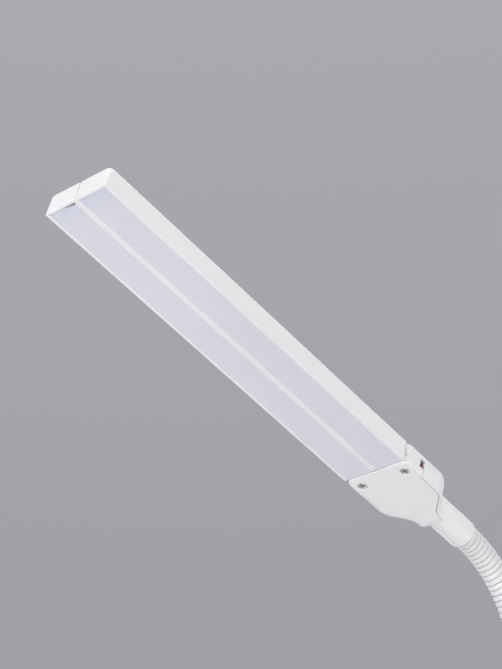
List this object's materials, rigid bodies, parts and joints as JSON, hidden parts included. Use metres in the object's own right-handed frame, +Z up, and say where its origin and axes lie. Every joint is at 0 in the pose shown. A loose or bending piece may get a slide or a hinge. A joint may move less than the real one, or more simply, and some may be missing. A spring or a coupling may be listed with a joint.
{
  "type": "clip-on reading lamp",
  "caption": "Clip-on reading lamp: slim light bars side by side that swing out on a yoke, a bendable ribbed neck and a spring clip with push buttons.",
  "frame": {"origin": "middle of the upper jaw's gripping face", "axes": "+Z up, away from the board the clip grips; +X from the clip's handles towards its jaws and along the head; +Y to the right bar"},
  "size_m": [0.492, 0.0495, 0.5582],
  "materials": {
    "white_plastic": "satin, fine moulded texture",
    "diffuser_plastic": "milky, satin",
    "board_white": "white solder mask",
    "board_green": "green solder mask",
    "screw_steel": "zinc plated",
    "wire_jacket": "dark insulation",
    "neck_sleeve": "satin, ribbed",
    "pad_rubber": "matt",
    "button_grey": "satin",
    "washer_nylon": "plain"
  },
  "bodies": {
    "clip": {"clip_body": "white_plastic", "clip_top_cover": "white_plastic", "cover_screw_front_left": "screw_steel", "cover_screw_front_right": "screw_steel", "cover_screw_rear_left": "screw_steel", "cover_screw_rear_right": "screw_steel", "control_board": "board_green", "power_inlet": "screw_steel", "neck_base_ferrule": "screw_steel", "neck_base_collar": "white_plastic", "neck_set_screw": "screw_steel", "upper_jaw_pad": "pad_rubber", "clip_spring": "screw_steel", "clip_pivot_pin": "screw_steel", "pin_retaining_ring": "screw_steel"},
    "clip_jaw": {"lower_jaw": "white_plastic", "lower_jaw_pad": "pad_rubber"},
    "power_key": {"power_button": "button_grey"},
    "brightness_key": {"brightness_button": "button_grey"},
    "colour_key": {"colour_button": "button_grey"},
    "neck_segment_01": {"neck_link_01": "neck_sleeve"},
    "neck_segment_02": {"neck_link_02": "neck_sleeve"},
    "neck_segment_03": {"neck_link_03": "neck_sleeve"},
    "neck_segment_04": {"neck_link_04": "neck_sleeve"},
    "neck_segment_05": {"neck_link_05": "neck_sleeve"},
    "neck_segment_06": {"neck_link_06": "neck_sleeve"},
    "neck_segment_07": {"neck_link_07": "neck_sleeve"},
    "neck_segment_08": {"neck_link_08": "neck_sleeve"},
    "neck_segment_09": {"neck_link_09": "neck_sleeve"},
    "neck_segment_10": {"neck_link_10": "neck_sleeve"},
    "neck_segment_11": {"neck_link_11": "neck_sleeve"},
    "head": {"yoke_upper_shell": "white_plastic", "yoke_lower_cover": "white_plastic", "neck_top_ferrule": "screw_steel", "left_pivot_screw": "screw_steel", "right_pivot_screw": "screw_steel", "left_friction_washer": "washer_nylon", "right_friction_washer": "washer_nylon", "left_wire_pair": "wire_jacket", "right_wire_pair": "wire_jacket"},
    "left_bar": {"left_bar_shell": "white_plastic", "left_diffuser": "diffuser_plastic", "left_led_board": "board_white", "left_hinge_arm": "white_plastic", "left_arm_screw_1": "screw_steel", "left_arm_screw_2": "screw_steel"},
    "right_bar": {"right_bar_shell": "white_plastic", "right_diffuser": "diffuser_plastic", "right_led_board": "board_white", "right_hinge_arm": "white_plastic", "right_arm_screw_1": "screw_steel", "right_arm_screw_2": "screw_steel"}
  },
  "joints": [
    {"name": "jaw_hinge", "type": "hinge", "parent": "clip", "child": "clip_jaw", "pos_m": [-0.044, 0, -0.005], "axis": [0, 1, 0], "range_deg": [0, 38], "stiffness_Nm_per_rad": 1.5, "springref_deg": -45.84, "deforming": ["clip_spring"]},
    {"name": "power_press", "type": "slide", "parent": "clip", "child": "power_key", "axis": [0, 0, -1], "range_m": [0, 0.0008], "stiffness_N_per_m": 1200, "springref_m": -0.0004},
    {"name": "brightness_press", "type": "slide", "parent": "clip", "child": "brightness_key", "axis": [0, 0, -1], "range_m": [0, 0.0008], "stiffness_N_per_m": 1200, "springref_m": -0.0004},
    {"name": "colour_press", "type": "slide", "parent": "clip", "child": "colour_key", "axis": [0, 0, -1], "range_m": [0, 0.0008], "stiffness_N_per_m": 1200, "springref_m": -0.0004},
    {"name": "neck_lean_00", "type": "hinge", "parent": "clip", "child": "neck_segment_01", "pos_m": [-0.044, 0, 0.045], "axis": [1, 0, 0], "range_deg": [-22, 22]},
    {"name": "neck_bend_01", "type": "hinge", "parent": "neck_segment_01", "child": "neck_segment_02", "pos_m": [-0.044, 0, 0.0803], "axis": [0, 1, 0], "range_deg": [-24, 24]},
    {"name": "neck_lean_02", "type": "hinge", "parent": "neck_segment_02", "child": "neck_segment_03", "pos_m": [-0.044, 0, 0.1156], "axis": [1, 0, 0], "range_deg": [-22, 22]},
    {"name": "neck_bend_03", "type": "hinge", "parent": "neck_segment_03", "child": "neck_segment_04", "pos_m": [-0.044, 0, 0.1509], "axis": [0, 1, 0], "range_deg": [-24, 24]},
    {"name": "neck_lean_04", "type": "hinge", "parent": "neck_segment_04", "child": "neck_segment_05", "pos_m": [-0.044, 0, 0.1862], "axis": [1, 0, 0], "range_deg": [-22, 22]},
    {"name": "neck_bend_05", "type": "hinge", "parent": "neck_segment_05", "child": "neck_segment_06", "pos_m": [-0.044, 0, 0.2215], "axis": [0, 1, 0], "range_deg": [-24, 24]},
    {"name": "neck_lean_06", "type": "hinge", "parent": "neck_segment_06", "child": "neck_segment_07", "pos_m": [-0.044, 0, 0.2568], "axis": [1, 0, 0], "range_deg": [-22, 22]},
    {"name": "neck_bend_07", "type": "hinge", "parent": "neck_segment_07", "child": "neck_segment_08", "pos_m": [-0.044, 0, 0.2921], "axis": [0, 1, 0], "range_deg": [-24, 24]},
    {"name": "neck_lean_08", "type": "hinge", "parent": "neck_segment_08", "child": "neck_segment_09", "pos_m": [-0.044, 0, 0.3274], "axis": [0.9961, 0, -0.0884], "range_deg": [-29, 29]},
    {"name": "neck_bend_09", "type": "hinge", "parent": "neck_segment_09", "child": "neck_segment_10", "pos_m": [-0.03783, 0, 0.36189], "axis": [0, 1, 0], "range_deg": [-52, 5]},
    {"name": "neck_lean_10", "type": "hinge", "parent": "neck_segment_10", "child": "neck_segment_11", "pos_m": [-0.01788, 0, 0.39069], "axis": [0.6821, 0, -0.7313], "range_deg": [-20, 20]},
    {"name": "neck_bend_11", "type": "hinge", "parent": "neck_segment_11", "child": "head", "pos_m": [0.01224, 0, 0.40859], "axis": [0, 1, 0], "range_deg": [-45, 15]},
    {"name": "left_bar_swing", "type": "hinge", "parent": "head", "child": "left_bar", "pos_m": [0.10578, -0.01765, 0.4293], "axis": [0.279, 0, -0.9603], "range_deg": [0, 90]},
    {"name": "right_bar_swing", "type": "hinge", "parent": "head", "child": "right_bar", "pos_m": [0.10578, 0.01765, 0.4293], "axis": [-0.279, 0, 0.9603], "range_deg": [0, 90]}
  ]
}
